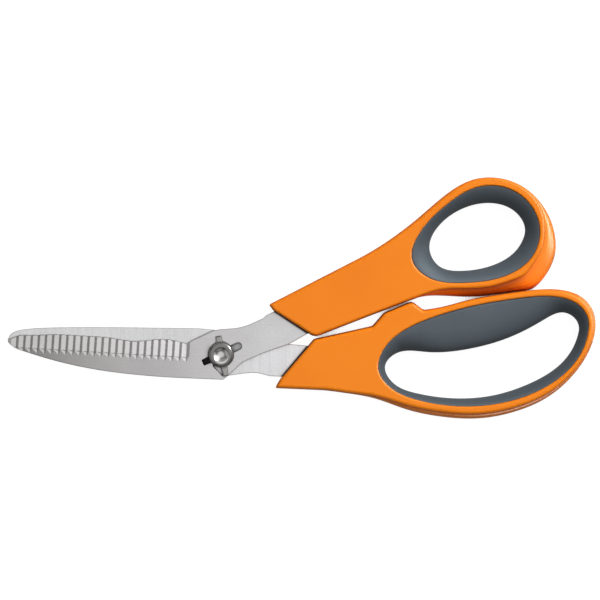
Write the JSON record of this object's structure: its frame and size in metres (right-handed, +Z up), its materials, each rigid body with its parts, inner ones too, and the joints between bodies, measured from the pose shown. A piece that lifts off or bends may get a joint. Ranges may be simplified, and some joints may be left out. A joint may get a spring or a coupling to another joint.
{
  "type": "take-apart fabric shears",
  "caption": "Hand shears with a fluted front blade, a plain rear blade, a take-apart pivot stud and two-shell handles with soft grips in a thumb loop and a finger loop.",
  "frame": {"origin": "middle of the closed shears' outline, on the table they lie on", "axes": "+Z up out of the table along the pivot axis; -X towards the blade tips; +Y towards the thumb loop"},
  "size_m": [0.2295, 0.0943, 0.013],
  "materials": {
    "blade_steel": "fine ground",
    "stud_steel": "polished",
    "handle_plastic": "satin",
    "grip_rubber": "matte"
  },
  "bodies": {
    "rear_half": {"rear_blade": "blade_steel", "pivot_stud": "stud_steel", "finger_handle_front": "handle_plastic", "finger_handle_back": "handle_plastic", "finger_grip": "grip_rubber"},
    "front_half": {"front_blade": "blade_steel", "thumb_handle_front": "handle_plastic", "thumb_handle_back": "handle_plastic", "thumb_grip": "grip_rubber"}
  },
  "joints": [
    {"name": "blade_pivot", "type": "hinge", "parent": "rear_half", "child": "front_half", "pos_m": [-0.0315, -0.0218, 0.0065], "axis": [0, 0, 1], "range_deg": [0, 75]}
  ]
}
